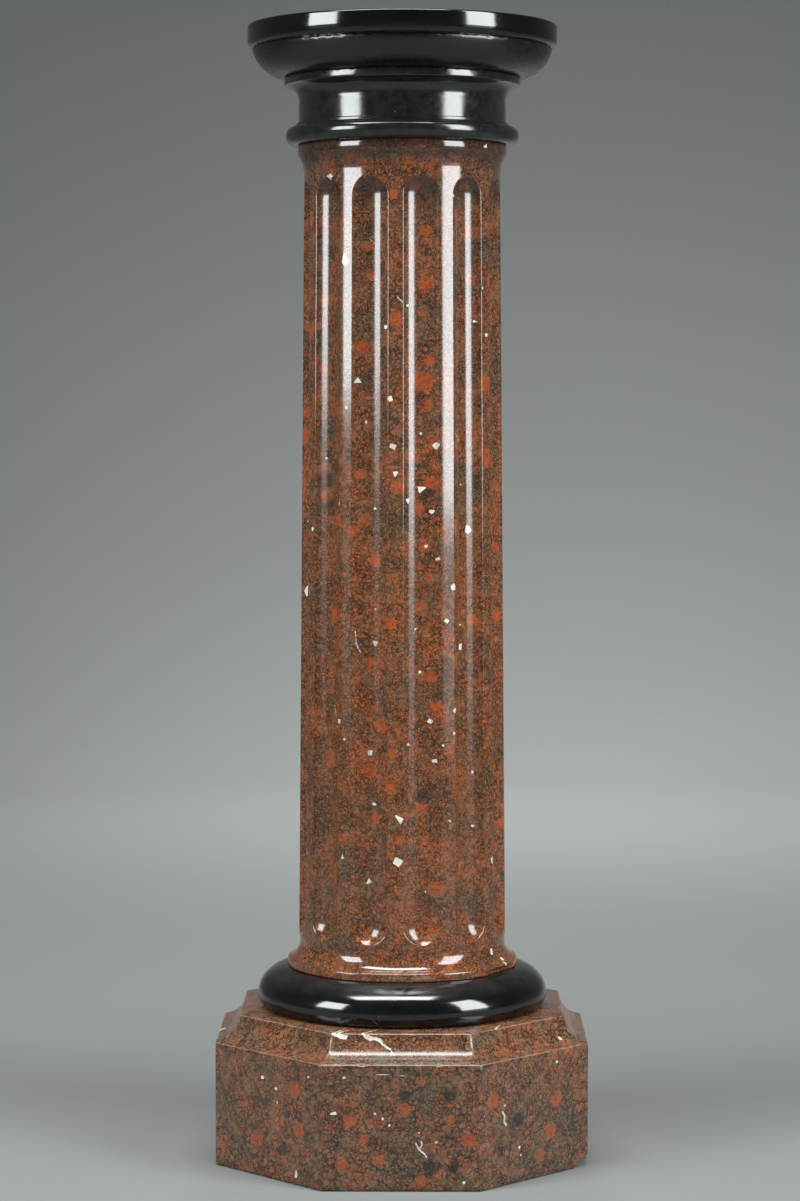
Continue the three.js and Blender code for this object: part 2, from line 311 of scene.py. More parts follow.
# The flake off the bowl of the capital.
SCAR_BEARING = 51
SCAR_DEGREES = 8
SCAR_HEIGHT = 1072 * MM
SCAR_RISE = 8 * MM
SCAR_DEPTH = 1.4 * MM
SCAR_REACH = 1.4
SCAR_EDGE = (0.7, 0.5, 6 * MM, 11)
SCAR_SLOPE = (0.4, 0.15)

# Finish.
SCAGLIOLA_IOR = 1.537
MARBLE_IOR = 1.592
GRAIN_DEPTH = 0.012 * MM

# The shaft is painted browner and darker towards its head; the darkening is painted shade. The first tint is
# for the stone up to the lower height, the second for the stone above the upper one.
SHADE_TINT_HEIGHTS = (0.62, 0.86)
SHAFT_TINTS_AND_SHADE = ((1.24, 1.06, 0.82), (1.02, 0.96, 0.84))
PLINTH_TINTS = ((1.08, 1.14, 1.06), (1.08, 1.14, 1.06))

# Colours of the scagliola.
PEBBLE_COLOURS = [
    (0.0, (0.050, 0.028, 0.016)),
    (0.18, (0.125, 0.052, 0.026)),
    (0.36, (0.235, 0.118, 0.080)),
    (0.52, (0.100, 0.074, 0.046)),
    (0.68, (0.165, 0.064, 0.032)),
    (0.84, (0.300, 0.066, 0.020)),
    (1.0, (0.270, 0.120, 0.056)),
]
BROWN_GROUND = (0.134, 0.076, 0.048)
RED_GROUND = (0.258, 0.088, 0.044)
OLIVE_GROUND = (0.120, 0.108, 0.080)
MURKY_GROUND = (0.095, 0.080, 0.060)
DEEP_CLAST = (0.215, 0.046, 0.018)
BRIGHT_CLAST = (0.340, 0.080, 0.028)
BLUE_BLACK = (0.014, 0.017, 0.024)
GRAIN_TONES = [(0.0, (0.36, 0.33, 0.31)), (0.4, (0.88, 0.88, 0.88)), (1.0, (1.0, 1.0, 1.0))]
CRACKLE = (0.016, 0.010, 0.007)
FINE_CRACKLE = (0.026, 0.017, 0.012)
# The colour of the painted shade in the flute heads and under the top fillet.
PAINTED_SHADE_COLOUR = (0.016, 0.012, 0.010)
GREY_CHIP = (0.44, 0.40, 0.34)
WHITE_CHIP = (0.66, 0.64, 0.58)
PALE_GRAIN = (0.38, 0.27, 0.19)
# Pale rubbed stone; on the shaft's foot the same colour is a painted reflection.
RUBBED_STONE_AND_SHEEN = (0.27, 0.20, 0.16)

# Colours of the black stone, its gloss, and the studio's paper.
DEEP_BLACK = (0.0008, 0.0009, 0.0010)
CLOUDED_BLACK = (0.0018, 0.0020, 0.0021)
DUST = (0.024, 0.0235, 0.0225)
DUST_SPECK = (0.16, 0.15, 0.14)
BROKEN_ARRIS = (0.20, 0.19, 0.18)
BLACK_GLOSS = 0.05
PAPER_TONES = [(0.0, (0.169, 0.180, 0.175)), (1.0, (0.175, 0.186, 0.181))]
PAPER_ROUGHNESS = 0.9
PAPER_IOR = 1.537

# Studio, in metres and watts.
SWEEP_FLOOR = 3.0
SWEEP_COVE = 2.5
SWEEP_COVE_STEPS = 40
SWEEP_HEIGHT = 5
SWEEP_STEPS = 96
SIDE_AZIMUTH = 59
SIDE_DISTANCE = 3.2
SIDE_WIDTH = 1.3
SIDE_LEFT_LOW = 0.78
SIDE_RIGHT_LOW = 0.56
SIDE_LEFT_TOP = 2.5
SIDE_RIGHT_TOP = 3.6
SIDE_RADIANCE = 15.4
SIDE_COLOUR = (0.93, 0.98, 1.0)
OVERHEAD_PLACE = (-0.3, -0.7, 3.0)
OVERHEAD_AIM = (-0.3, 0, 0.4)
OVERHEAD_WIDTH = 2.3
OVERHEAD_DEPTH = 0.7
OVERHEAD_POWER = 100
SKIRT_LEFT_RADIANCE = 0.6
SKIRT_RIGHT_RADIANCE = 1.8
SKIRT_LOW = 0.12

# Fill lamps: place, aim, side, power and spread.
FLOOR_LAMP = ((0.15, 1.95, 3.2), (0.15, 2.45, 0), 1.8, 17, math.radians(54))
REAR_LAMP = ((0.0, 4.0, 1.8), (0, 0, 0.65), 0.8, 6.5, math.radians(40))
BACKDROP_LAMP = ((0.35, 0.8, 3.0), (0.3, 4.0, 0.2), 1.4, 25, math.radians(60))

AIR_COLOUR = (0.95, 0.98, 1.0, 1)
AIR_STRENGTH = 0.1


def arc(start, end, bulge, steps=CURVE_STEPS):
    """Points (radius, height) of a circular arc. Read upwards, a positive bulge swells outwards."""
    start, end = Vector(start), Vector(end)
    chord = end - start
    normal = Vector((chord.y, -chord.x)).normalized()
    sweep = 4 * math.atan2(2 * bulge, chord.length)
    points = []
    for i in range(steps + 1):
        turn = sweep * (i / steps - 0.5)
        along = 0.5 + math.sin(turn) / (2 * math.sin(sweep / 2))
        rise = bulge - bulge * (1 - math.cos(turn)) / (1 - math.cos(sweep / 2))
        points.append(tuple(start + chord * along + normal * rise))
    return points


def quarter_ellipse(widest, level, steps):
    """Points (radius, height) of a quarter ellipse, from its widest point to where it lies level."""
    points = []
    for i in range(steps + 1):
        turn = math.pi / 2 * i / steps
        radius = level[0] + (widest[0] - level[0]) * math.cos(turn)
        points.append((radius, widest[1] + (level[1] - widest[1]) * math.sin(turn)))
    return points


def quarter_round(size):
    """The bulge of an arc that turns a square corner of this size."""
    return size * (math.sqrt(2) - 1) / math.sqrt(2)


def close(bm):
    """Welds seams and poles, and turns every face outwards."""
    bmesh.ops.remove_doubles(bm, verts=bm.verts, dist=WELD)
    bmesh.ops.dissolve_degenerate(bm, edges=bm.edges, dist=WELD / 10)
    bmesh.ops.recalc_face_normals(bm, faces=bm.faces)


def soften(bm, edges, width, segments=ARRIS_STEPS):
    """Rounds arrises, and gives back the vertices along the middle of each rounding."""
    made = bmesh.ops.bevel(
        bm,
        geom=list(edges),
        offset=width,
        offset_type="OFFSET",
        segments=segments,
        profile=0.5,
        affect="EDGES",
        clamp_overlap=True,
        material=-1,
    )
    rounded = set(made["faces"])
    return [v for v in made["verts"] if all(f in rounded for f in v.link_faces)]


def sharp_edges(bm, angle=SHARP_ANGLE):
    return [e for e in bm.edges if len(e.link_faces) == 2 and e.calc_face_angle(0) > angle]


def turned(outline, steps=ROUND_STEPS):
    """A closed solid spun about the column's axis from an outline read upwards."""
    bm = bmesh.new()
    points = [(0, outline[0][1]), *outline, (0, outline[-1][1])]
    chain = [bm.verts.new((0, -radius, height)) for radius, height in points]
    edges = [bm.edges.new(pair) for pair in zip(chain, chain[1:])]
    bmesh.ops.spin(
        bm, geom=chain + edges, cent=(0, 0, 0), axis=(0, 0, 1), angle=2 * math.pi, steps=steps, use_merge=True
    )
    close(bm)
    return bm


def bearing(co):
    """Degrees round the column from the front, towards the right."""
    return math.degrees(math.atan2(co.x, -co.y))


def outward(degrees):
    """The direction out of the column at a bearing."""
    angle = math.radians(degrees)
    return Vector((math.sin(angle), -math.cos(angle), 0))


def ease(value, low, high):
    """0 below low, 1 above high, smooth between."""
    share = min(1, max(0, (value - low) / (high - low)))
    return share * share * (3 - 2 * share)


def ragged(co, size, seed=0):
    """Smooth noise from 0 to 1 with features of a size."""
    return 0.5 + 0.5 * noise.noise(co / size + Vector((seed, seed, seed)))


def nicked(co, size, seed, start, full):
    """How far an arris is nicked at a place, from 0 to 1."""
    return ease(ragged(co, size, seed), start, full)


def varied(co, least, extra, size, seed):
    """A value that varies over the stone."""
    return least + extra * ragged(co, size, seed)


def verts_of(geom):
    return [v for v in geom if isinstance(v, bmesh.types.BMVert)]


def edges_among(geom, verts):
    """The edges in what an operator made that join the given vertices."""
    return [e for e in geom if isinstance(e, bmesh.types.BMEdge) and all(v in verts for v in e.verts)]


def marks_layer(bm, name):
    layer = bm.verts.layers.float.new(name)
    for v in bm.verts:
        v[layer] = FAR
    return layer


def oval(half_width, half_height):
    """The distance of a point from the edge of an oval mark, as a function of its place on the mark."""

    def edge(across, up):
        return (math.hypot(across / half_width, up / half_height) - 1) * min(half_width, half_height)

    return edge


def shard(dice, half_width, half_height):
    """The same for an angular chip with three to five straight sides."""
    count = dice.choice(SHARD_SIDES)
    start = dice.uniform(0, 2 * math.pi)
    sides = []
    for i in range(count):
        turn = start + 2 * math.pi * (i + dice.uniform(-SHARD_SKEW, SHARD_SKEW)) / count
        facing = (math.cos(turn), math.sin(turn))
        reach = math.hypot(facing[0] * half_width, facing[1] * half_height)
        sides.append((*facing, reach * dice.uniform(*SHARD_CUT[count])))

    def edge(across, up):
        return max(x * across + y * up - reach for x, y, reach in sides)

    return edge


def lay_marks(bm, name, marks):
    """Writes how far each vertex is from the nearest mark: (centre, direction along it, reach, edge)."""
    layer = marks_layer(bm, name)
    bm.verts.index_update()
    bm.verts.ensure_lookup_table()
    tree = kdtree.KDTree(len(bm.verts))
    for v in bm.verts:
        tree.insert(v.co, v.index)
    tree.balance()
    for centre, along, reach, edge in marks:
        for co, index, _ in tree.find_range(centre, (reach + 2 * FAR) * MM):
            v = bm.verts[index]
            v[layer] = min(v[layer], edge((co - centre).dot(along) / MM, (co.z - centre.z) / MM))


def refine(bm, marks, cuts=2):
    """Splits the faces under small marks, so that their edges stay crisp."""
    bm.faces.index_update()
    bm.faces.ensure_lookup_table()
    tree = kdtree.KDTree(len(bm.faces))
    for f in bm.faces:
        tree.insert(f.calc_center_median(), f.index)
    tree.balance()
    near = set()
    for centre, along, reach, _ in marks:
        for co, index, _ in tree.find_range(centre, (reach + 2 * FAR) * MM):
            off = math.hypot((co - centre).dot(along), co.z - centre.z)
            if off < reach * MM + REFINE_MARGIN and bm.faces[index].calc_area() < REFINE_LIMIT:
                near.update(bm.faces[index].edges)
    bmesh.ops.subdivide_edges(bm, edges=list(near), cuts=cuts, use_grid_fill=True)


def finished(name, bm, material, node):
    """Makes a bmesh into a piece that stands for a node of the frame."""
    mesh = bpy.data.meshes.new(name)
    bmesh.ops.recalc_face_normals(bm, faces=bm.faces)
    for face in bm.faces:
        face.smooth = True
    bm.to_mesh(mesh)
    bm.free()
    piece = bpy.data.objects.new(name, mesh)
    bpy.context.scene.collection.objects.link(piece)
    mesh.materials.append(material)
    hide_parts(node)
    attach(piece, "root")


def shaft_outline():
    foot_fillet_top = shaft_low.z + FOOT_FILLET_HEIGHT
    foot_arris = (FOOT_RADIUS - FOOT_ARRIS, foot_fillet_top + FOOT_ARRIS)
    taper_foot = (SHAFT_LOWER_RADIUS, shaft_low.z + FOOT_FLARE_HEIGHT)
    head_fillet_foot = shaft_high.z - HEAD_FILLET_HEIGHT
    taper_head = (SHAFT_UPPER_RADIUS, head_fillet_foot - HEAD_FLARE_HEIGHT)
    foot_edge = shaft_low.z + FOOT_LOWER_ARRIS
    foot_start = (FOOT_RADIUS - FOOT_LOWER_ARRIS, shaft_low.z)
    fillet_side = [
        (FOOT_RADIUS, foot_edge + (foot_fillet_top - foot_edge) * i / FOOT_FILLET_COURSES)
        for i in range(1, FOOT_FILLET_COURSES)
    ]
    foot = [
        *arc(foot_start, (FOOT_RADIUS, foot_edge), quarter_round(FOOT_LOWER_ARRIS), ARRIS_STEPS),
        *fillet_side,
        *arc((FOOT_RADIUS, foot_fillet_top), foot_arris, quarter_round(FOOT_ARRIS), 2 * ARRIS_STEPS),
        *arc(foot_arris, taper_foot, -FOOT_FLARE_HOLLOW)[1:],
    ]
    head = [
        *arc(taper_head, (HEAD_RADIUS, head_fillet_foot), -HEAD_FLARE_HOLLOW),
        (HEAD_RADIUS, shaft_high.z - FOOT_LOWER_ARRIS),
        (HEAD_RADIUS - FOOT_LOWER_ARRIS / 2, shaft_high.z),
    ]
    return foot, head


def radius_at(outline, height):
    """The radius of a rising outline at a height."""
    for (r0, z0), (r1, z1) in zip(outline, outline[1:]):
        if height <= z1:
            return r0 + (r1 - r0) * (height - z0) / (z1 - z0)
    return outline[-1][0]


def flute_section():
    """Half a flute's section from its middle to its arris, as (angle, depth share of the shaft's radius)."""
    hollow = math.sin(FLUTE_SPAN / 2) / math.sin(FLUTE_ARC / 2)
    centre = math.cos(FLUTE_SPAN / 2) + hollow * math.cos(FLUTE_ARC / 2)
    points = []
    for i in range(FLUTE_STEPS + 1):
        turn = FLUTE_ARC / 2 * i / FLUTE_STEPS
        across = hollow * math.sin(turn)
        out = centre - hollow * math.cos(turn)
        points.append((math.atan2(across, out), 1 - math.hypot(across, out)))
    return points


def flute_panel(unrolled_radius, foot, head):
    """One flute and its land laid flat: X along the girth, Y up the shaft, Z into the stone."""
    half_flute = FLUTE_SPAN / 2 * unrolled_radius
    half_panel = math.pi / FLUTE_COUNT * unrolled_radius
    lower_end = FLUTE_LOWER_TIP + half_flute
    upper_end = FLUTE_UPPER_TIP - half_flute
    lower_border = foot[-1][1]
    upper_border = head[0][1]
    bm = bmesh.new()
    section = [(angle * unrolled_radius, depth * unrolled_radius) for angle, depth in flute_section()]
    section.append((half_flute + LAND_MARGIN, 0))
    row = [bm.verts.new((across, upper_end, depth)) for across, depth in section]
    row_edges = [bm.edges.new(pair) for pair in zip(row, row[1:])]

    # The scooped ends are half-turns of the section, and the straight runs join them.
    side = row + row_edges
    for end, other_end in ((upper_end, lower_end), (lower_end, upper_end)):
        made = bmesh.ops.spin(
            bm, geom=side, cent=(0, end, 0), axis=(0, 0, 1), angle=math.pi, steps=FLUTE_END_STEPS
        )
        last = [e for e in made["geom_last"] if isinstance(e, bmesh.types.BMEdge)]
        run = bmesh.ops.extrude_edge_only(bm, edges=last)["geom"]
        moved = verts_of(run)
        bmesh.ops.translate(bm, verts=moved, vec=(0, other_end - end, 0))
        side = moved + edges_among(run, moved)
    bmesh.ops.remove_doubles(bm, verts=bm.verts, dist=WELD)
    long_edges = [e for e in bm.edges if e.calc_length() > (upper_end - lower_end) / 2]
    bmesh.ops.subdivide_edges(bm, edges=long_edges, cuts=FLUTE_RUN_CUTS, use_grid_fill=True)

    def from_spine(v):
        return math.hypot(v.co.x, max(0, v.co.y - upper_end, lower_end - v.co.y))

    # The land is drawn out from the flute's rim to the panel's straight border.
    rim = [e for e in bm.edges if e.is_boundary]
    drawn = bmesh.ops.extrude_edge_only(bm, edges=rim)["geom"]
    border = verts_of(drawn)
    for v in border:
        beyond = max(0, v.co.y - upper_end) - max(0, lower_end - v.co.y)
        reach = upper_border - upper_end if beyond > 0 else lower_end - lower_border
        end = upper_end if beyond > 0 else lower_end
        steep = abs(beyond) > abs(v.co.x)
        if steep:
            v.co.x, v.co.y = half_panel * v.co.x / abs(beyond), end + math.copysign(reach, beyond)
        else:
            if beyond:
                v.co.y = end + reach * beyond / abs(v.co.x)
            v.co.x = math.copysign(half_panel, v.co.x)
    in_border = set(border)
    spokes = [e for v in border for e in v.link_edges if e.other_vert(v) not in in_border]
    bmesh.ops.subdivide_edges(bm, edges=spokes, cuts=LAND_CUTS, use_grid_fill=True)

    arris = [e for e in bm.edges if all(abs(from_spine(v) - half_flute) < WELD for v in e.verts)]
    soften(bm, arris, FLUTE_ARRIS, FLUTE_ARRIS_STEPS)

    # Foot and head are drawn down and up from the panel's ends, one course for each point of the outline.
    for border_height, courses in ((lower_border, reversed(foot[:-1])), (upper_border, head[1:])):
        edge_row = [
            e for e in bm.edges if e.is_boundary and all(abs(v.co.y - border_height) < WELD for v in e.verts)
        ]
        for _, height in courses:
            course = bmesh.ops.extrude_edge_only(bm, edges=edge_row)["geom"]
            raised = verts_of(course)
            for v in raised:
                v.co.y = height
            edge_row = edges_among(course, raised)
    return bm


def shaft_marks(outline):
    """Chips, clasts, dark patches and painted reflections: those seen in front, and others like them behind.
    """
    dice = random.Random(SHAFT_SEED)

    def mark(height, degrees, half_width, half_height, angular=False):
        radius = radius_at(outline, height * MM)
        centre = outward(degrees) * radius + Vector((0, 0, height * MM))
        edge = shard(dice, half_width, half_height) if angular else oval(half_width, half_height)
        return centre, outward(degrees + 90), max(half_width, half_height), edge

    def behind():
        height = dice.uniform(shaft_low.z / MM, shaft_high.z / MM)
        return height, dice.uniform(SEEN_BEARING, 360 - SEEN_BEARING)

    seen = [mark(*chip, angular=True) for chip in SHAFT_WHITE]
    for run in SHAFT_VEINS:
        for (z0, b0), (z1, b1) in zip(run, run[1:]):
            steps = math.ceil(max(abs(z1 - z0), abs(b1 - b0)) / VEIN_STEP)
            for i in range(steps + 1):
                share = i / steps
                seen.append(mark(z0 + (z1 - z0) * share, b0 + (b1 - b0) * share, VEIN_HALF, VEIN_HALF))
    white = list(seen)
    for _ in range(HIDDEN_WHITE):
        half = dice.uniform(*HIDDEN_WHITE_HALF)
        white.append(mark(*behind(), half, half * dice.uniform(*HIDDEN_STRETCH), angular=True))
    red = [mark(height, degrees, half, half) for height, degrees, half in SHAFT_RED]
    dark = [mark(height, degrees, half, half) for height, degrees, half in SHAFT_DARK]
    for marks, count in ((red, HIDDEN_RED), (dark, HIDDEN_DARK)):
        for _ in range(count):
            half = dice.uniform(*HIDDEN_RED_HALF)
            marks.append(mark(*behind(), half, half * dice.uniform(*HIDDEN_STRETCH)))
    # Painted reflection: pale patches on the front of the foot's fillet.
    worn = [mark(*patch) for patch in FOOT_PAINTED_SHEEN]
    return seen, {"white": white, "red": red, "dark": dark, "worn": worn}


def wear_foot(bm):
    """The foot's lower rim is nicked all round, and broken away on the right."""
    rim_top = shaft_low.z + FOOT_FILLET_HEIGHT
    for v in bm.verts:
        if v.co.z > rim_top + FOOT_ARRIS or v.co.xy.length < FOOT_RADIUS / 2:
            continue
        low = 1 - ease(v.co.z, shaft_low.z + FOOT_LOWER_ARRIS, rim_top)
        nicks = nicked(v.co, *FOOT_NICKS) * low * FOOT_NICK_DEPTH
        side = bearing(v.co)
        broken = ease(side, *FOOT_BREAK_START) * (1 - ease(side, *FOOT_BREAK_END))
        roof = shaft_low.z + varied(v.co, *FOOT_BREAK_ROOF)
        under_lip = 1 - ease(v.co.z, roof - FOOT_BREAK_LIP[0], roof + FOOT_BREAK_LIP[1])
        depth = broken * under_lip * varied(v.co, *FOOT_BREAK_DEPTH)
        v.co -= outward(side) * max(nicks, depth)


def shaft_form():
    foot, head = shaft_outline()
    outline = foot + head
    unrolled_radius = (SHAFT_LOWER_RADIUS + SHAFT_UPPER_RADIUS) / 2
    bm = flute_panel(unrolled_radius, foot, head)
    for v in bm.verts:
        angle = v.co.x / unrolled_radius + math.pi / FLUTE_COUNT
        radius = radius_at(outline, v.co.y) * (1 - v.co.z / unrolled_radius)
        v.co = (radius * math.sin(angle), -radius * math.cos(angle), v.co.y)
    bmesh.ops.spin(
        bm,
        geom=bm.verts[:] + bm.edges[:] + bm.faces[:],
        cent=(0, 0, 0),
        axis=(0, 0, 1),
        angle=2 * math.pi * (FLUTE_COUNT - 1) / FLUTE_COUNT,
        steps=FLUTE_COUNT - 1,
        use_duplicate=True,
    )
    bmesh.ops.remove_doubles(bm, verts=bm.verts, dist=WELD)
    open_edges = [e for e in bm.edges if e.is_boundary]
    bmesh.ops.holes_fill(bm, edges=open_edges, sides=0)
    close(bm)
    bmesh.ops.rotate(bm, verts=bm.verts, matrix=Matrix.Rotation(SHAFT_TURN, 3, "Z"))

    # The seen half has courses close enough for the small chips.
    tall = [
        e for e in bm.edges
        if abs(e.verts[0].co.z - e.verts[1].co.z) > FINE_COURSE and all(v.co.y < FINE_LIMIT for v in e.verts)
    ]
    bmesh.ops.subdivide_edges(bm, edges=tall, cuts=1, use_grid_fill=True)
    small, layers = shaft_marks(outline)
    refine(bm, small)
    wear_foot(bm)
    for name, marks in layers.items():
        lay_marks(bm, name, marks)
    hollow = marks_layer(bm, "hollow")
    # Painted shade: how far the upper ends of the flutes and the flare under the top fillet are darkened.
    grime = marks_layer(bm, "grime")
    flare_top = shaft_high.z - HEAD_FILLET_HEIGHT
    for v in bm.verts:
        depth = radius_at(outline, v.co.z) - v.co.xy.length
        v[hollow] = depth / MM
        in_head = ease(v.co.z, FLUTE_UPPER_TIP - HEAD_PAINTED_SHADE, FLUTE_UPPER_TIP - HEAD_PAINTED_SHADE / 4)
        in_head *= ease(depth, *PAINTED_SHADE_DEPTHS)
        flare_start, flare_end = (flare_top - share * HEAD_FLARE_HEIGHT for share in PAINTED_SHADE_FLARE)
        under_fillet = ease(v.co.z, flare_start, flare_end)
        v[grime] = max(in_head, under_fillet)
    return bm


def plinth_marks():
    """The same for the plinth, face by face."""
    dice = random.Random(PLINTH_SEED)
    half_side = PLINTH_APOTHEM * math.tan(math.pi / PLINTH_SIDES) / MM

    def mark(face, along, height, half_width, half_height, angular=False):
        level = ease(height * MM, PLINTH_BLOCK_HEIGHT, plinth_high.z)
        depth = PLINTH_APOTHEM - PLINTH_COVE_INSET * level
        direction = outward(face + 90)
        centre = outward(face) * depth + direction * along * MM + Vector((0, 0, height * MM))
        edge = shard(dice, half_width, half_height) if angular else oval(half_width, half_height)
        return centre, direction, max(half_width, half_height), edge

    def behind():
        face = dice.choice(PLINTH_HIDDEN_FACES)
        return face, dice.uniform(-half_side, half_side), dice.uniform(0, PLINTH_BLOCK_HEIGHT / MM)

    seen = [mark(*chip, angular=True) for chip in PLINTH_WHITE]
    for face, half, run in PLINTH_VEINS:
        for (a0, z0), (a1, z1) in zip(run, run[1:]):
            steps = math.ceil(math.hypot(a1 - a0, z1 - z0) / VEIN_STEP)
            for i in range(steps + 1):
                share = i / steps
                seen.append(mark(face, a0 + (a1 - a0) * share, z0 + (z1 - z0) * share, half, half))
    white = list(seen)
    for _ in range(HIDDEN_WHITE // 2):
        half = dice.uniform(*HIDDEN_WHITE_HALF)
        white.append(mark(*behind(), half, half * dice.uniform(*HIDDEN_STRETCH), angular=True))
    red = [mark(*clast, clast[-1]) for clast in PLINTH_RED]
    dark = [mark(*patch, patch[-1]) for patch in PLINTH_DARK]
    for marks, count in ((red, HIDDEN_RED // 2), (dark, HIDDEN_DARK)):
        for _ in range(count):
            half = dice.uniform(*HIDDEN_RED_HALF)
            marks.append(mark(*behind(), half, half * dice.uniform(*HIDDEN_STRETCH)))
    return seen, {"white": white, "red": red, "dark": dark}


def plinth_form():
    half_side = math.pi / PLINTH_SIDES
    corner = 1 / math.cos(half_side)
    cove = arc(
        (PLINTH_APOTHEM, PLINTH_BLOCK_HEIGHT),
        (PLINTH_APOTHEM - PLINTH_COVE_INSET, plinth_high.z),
        -PLINTH_COVE_HOLLOW,
        PLINTH_COVE_STEPS,
    )
    bm = bmesh.new()
    bmesh.ops.create_circle(bm, cap_ends=False, segments=PLINTH_SIDES, radius=PLINTH_APOTHEM * corner)
    bmesh.ops.rotate(bm, verts=bm.verts, matrix=Matrix.Rotation(half_side, 3, "Z"))
    course = bm.edges[:]
    apothem = PLINTH_APOTHEM
    for next_apothem, height in cove:
        made = bmesh.ops.extrude_edge_only(bm, edges=course)["geom"]
        ring = verts_of(made)
        bmesh.ops.scale(bm, verts=ring, vec=(next_apothem / apothem, next_apothem / apothem, 1))
        for v in ring:
            v.co.z = height
        apothem = next_apothem
        course = edges_among(made, ring)
    bmesh.ops.holes_fill(bm, edges=[e for e in bm.edges if e.is_boundary], sides=0)
    close(bm)
    worn = marks_layer(bm, "worn")
    for v in soften(bm, sharp_edges(bm), PLINTH_ARRIS):
        v[worn] = PLINTH_WORN[0]
    while True:
        wide = [e for e in bm.edges if e.calc_length() > PLINTH_GRID]
        if not wide:
            break
        bmesh.ops.subdivide_edges(bm, edges=wide, cuts=1, use_grid_fill=True)
    small, layers = plinth_marks()
    refine(bm, small)
    wear_plinth(bm, worn)
    for name, marks in layers.items():
        lay_marks(bm, name, marks)
    return bm


def wear_plinth(bm, worn):
    """Arrises are rubbed and nicked, and the lower corner on the right is broken off."""
    broken_corner = outward(CORNER_BEARING) * (PLINTH_APOTHEM / math.cos(math.pi / PLINTH_SIDES))
    cut = (outward(CORNER_FACE_BEARING) * CORNER_FACE_OUT - Vector((0, 0, CORNER_FACE_DOWN))).normalized()
    cut_face = broken_corner - cut * CORNER_DEPTH
    upright_start, upright_end = (PLINTH_BLOCK_HEIGHT - drop for drop in UPRIGHT_TOP)
    for v in bm.verts:
        if v[worn] < 0:
            out = outward(bearing(v.co))
            depth = nicked(v.co, *PLINTH_NICKS) * PLINTH_NICK_DEPTH
            depth += nicked(v.co, *PLINTH_FINE_NICKS) * PLINTH_FINE_NICK_DEPTH
            slant = PLINTH_NICK_RISE if v.co.z < PLINTH_BLOCK_HEIGHT / 2 else -PLINTH_NICK_FALL
            v.co += Vector((-out.x, -out.y, slant)).normalized() * depth
            upright = 1 - ease(v.co.z, upright_start, upright_end)
            v[worn] = varied(v.co, *PLINTH_WORN) + UPRIGHT_WORN * upright
        proud = (v.co - cut_face).dot(cut)
        if proud > 0:
            v.co -= cut * max(0, proud + varied(v.co, *CORNER_UNEVEN))
            v[worn] = min(v[worn], CORNER_WORN - proud / MM)


def ring_form():
    widest = (RING_RADIUS, RING_WIDEST)
    lower = quarter_ellipse(widest, (RING_RADIUS - RING_LOWER_INSET, ring_low.z), CURVE_STEPS)
    upper = quarter_ellipse(widest, (RING_RADIUS - RING_UPPER_INSET, ring_high.z), 3 * CURVE_STEPS)
    bm = turned([*reversed(lower), *upper[1:]])
    marks_layer(bm, "worn")
    return bm


def neck_form():
    astragal_edge = ASTRAGAL_HEIGHT / 2
    astragal_flat = ASTRAGAL_RADIUS - astragal_edge
    astragal_top = neck_low.z + ASTRAGAL_HEIGHT
    step_top = astragal_top + STEP_HEIGHT
    fillet_foot = neck_high.z - NECK_FILLET_HEIGHT
    bm = turned(
        [
            *arc((astragal_flat, neck_low.z), (astragal_flat, astragal_top), astragal_edge, 2 * CURVE_STEPS),
            (STEP_RADIUS, astragal_top),
            (STEP_RADIUS, step_top),
            (NECK_RADIUS, step_top),
            *arc((NECK_RADIUS, NECK_DRUM_TOP), (NECK_FLARE_RADIUS, fillet_foot), -NECK_FLARE_HOLLOW),
            (NECK_FILLET_RADIUS, fillet_foot),
            (NECK_FILLET_RADIUS, neck_high.z),
        ],
        CAPITAL_STEPS,
    )
    worn = marks_layer(bm, "worn")
    fillet = [e for e in sharp_edges(bm) if all(v.co.xy.length > NECK_FILLET_RADIUS - WELD for v in e.verts)]
    rubbed = soften(bm, fillet, NECK_FILLET_ARRIS)
    soften(bm, sharp_edges(bm, TURNED_SHARP_ANGLE), TURNED_ARRIS)
    for v in rubbed:
        if v.is_valid and v.co.z > neck_high.z - NECK_FILLET_ARRIS:
            nick = nicked(v.co, *FILLET_NICKS)
            v.co -= outward(bearing(v.co)) * nick * FILLET_NICK_DEPTH
            v.co.z -= nick * FILLET_NICK_DROP
            v[worn] = varied(v.co, *FILLET_WORN)
    return bm


